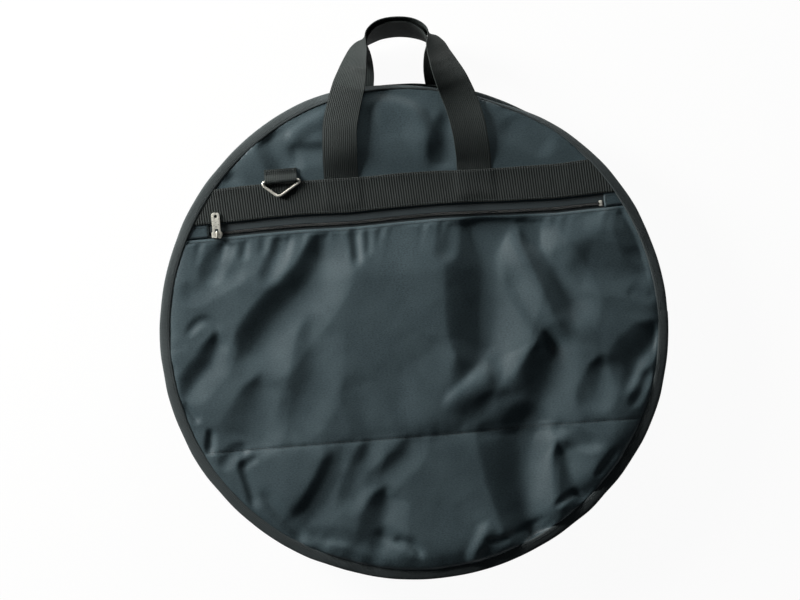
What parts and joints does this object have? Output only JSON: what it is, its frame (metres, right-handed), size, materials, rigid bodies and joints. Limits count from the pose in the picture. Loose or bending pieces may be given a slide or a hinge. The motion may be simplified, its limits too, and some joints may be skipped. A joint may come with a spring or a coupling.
{
  "type": "cymbal bag",
  "caption": "Flat round padded soft case with a zipped flap front, a zipped outer pocket, webbing carry handles and a strap ring.",
  "frame": {"origin": "centre of the back panel's flat resting face", "axes": "+Z out of the front panel, +Y up towards the carry handles, +X to the right seen from the front"},
  "size_m": [0.59, 0.6596, 0.0606],
  "materials": {
    "shell_cloth": "coated woven polyester with a low sheen",
    "webbing": "ribbed polypropylene webbing",
    "binding_tape": "folded grosgrain tape",
    "lining_cloth": "thin plain nylon",
    "foam": "soft sheet foam",
    "zip_tape": "woven zip tape",
    "zip_coil": "nylon coil",
    "nickel": "nickel plate"
  },
  "bodies": {
    "case": {"back_panel": "shell_cloth", "back_padding": "foam", "back_lining": "lining_cloth", "back_binding": "binding_tape", "back_band": "webbing", "gusset_bottom": "shell_cloth", "gusset_rear_strip": "shell_cloth", "main_zip_tape_rear": "zip_tape", "main_zip_coil_rear": "zip_coil", "front_lower_panel": "shell_cloth", "front_lower_padding": "foam", "front_lower_lining": "lining_cloth", "front_binding_lower": "binding_tape", "zip_end_tab_left": "binding_tape", "zip_end_tab_right": "binding_tape"},
    "front_flap": {"front_top_panel": "shell_cloth", "pocket_backing": "lining_cloth", "front_padding": "foam", "front_lining": "lining_cloth", "pocket_front": "shell_cloth", "front_band": "webbing", "pocket_zip_tape_upper": "zip_tape", "pocket_zip_tape_lower": "zip_tape", "pocket_zip_coil_upper": "zip_coil", "pocket_zip_coil_lower": "zip_coil", "pocket_zip_stop": "nickel", "front_binding_upper": "binding_tape", "gusset_front_strip": "shell_cloth", "main_zip_tape_front": "zip_tape", "main_zip_coil_front": "zip_coil", "front_ring_tab": "webbing"},
    "pocket_slider": {"pocket_slider": "nickel"},
    "pocket_pull": {"pocket_pull": "nickel"},
    "main_slider_left": {"main_slider_left": "nickel"},
    "main_pull_left": {"main_pull_left": "nickel"},
    "main_slider_right": {"main_slider_right": "nickel"},
    "main_pull_right": {"main_pull_right": "nickel"},
    "front_handle": {"front_handle": "webbing"},
    "back_handle": {"back_handle": "webbing"},
    "front_ring": {"front_ring": "nickel"}
  },
  "joints": [
    {"name": "front_flap_open", "type": "hinge", "parent": "case", "child": "front_flap", "pos_m": [0, -0.122, 0.052], "axis": [1, 0, 0], "range_deg": [0, 75]},
    {"name": "main_slider_left_run", "type": "hinge", "parent": "case", "child": "main_slider_left", "pos_m": [0, 0, 0.0271], "axis": [0, 0, 1], "range_deg": [0, 150]},
    {"name": "main_slider_right_run", "type": "hinge", "parent": "case", "child": "main_slider_right", "pos_m": [0, 0, 0.0271], "axis": [0, 0, 1], "range_deg": [-65, 0]},
    {"name": "main_pull_left_swing", "type": "hinge", "parent": "main_slider_left", "child": "main_pull_left", "pos_m": [0.18384, 0.21909, 0.0271], "axis": [0, 0, 1], "range_deg": [-150, 0]},
    {"name": "main_pull_right_swing", "type": "hinge", "parent": "main_slider_right", "child": "main_pull_right", "pos_m": [0.20746, 0.19687, 0.0271], "axis": [0, 0, 1], "range_deg": [0, 150]},
    {"name": "pocket_slider_run", "type": "slide", "parent": "front_flap", "child": "pocket_slider", "axis": [1, 0, 0], "range_m": [0, 0.437]},
    {"name": "pocket_pull_swing", "type": "hinge", "parent": "pocket_slider", "child": "pocket_pull", "pos_m": [-0.219, 0.13, 0.0541], "axis": [1, 0, 0], "range_deg": [0, 150]},
    {"name": "front_handle_swing", "type": "hinge", "parent": "front_flap", "child": "front_handle", "pos_m": [0.007, 0.186, 0.0531], "axis": [1, 0, 0], "range_deg": [0, 150]},
    {"name": "back_handle_swing", "type": "hinge", "parent": "case", "child": "back_handle", "pos_m": [0.007, 0.186, 0.0011], "axis": [1, 0, 0], "range_deg": [-150, 0]},
    {"name": "front_ring_swing", "type": "hinge", "parent": "front_flap", "child": "front_ring", "pos_m": [-0.14, 0.186, 0.0549], "axis": [1, 0, 0], "range_deg": [-135, 0]}
  ]
}
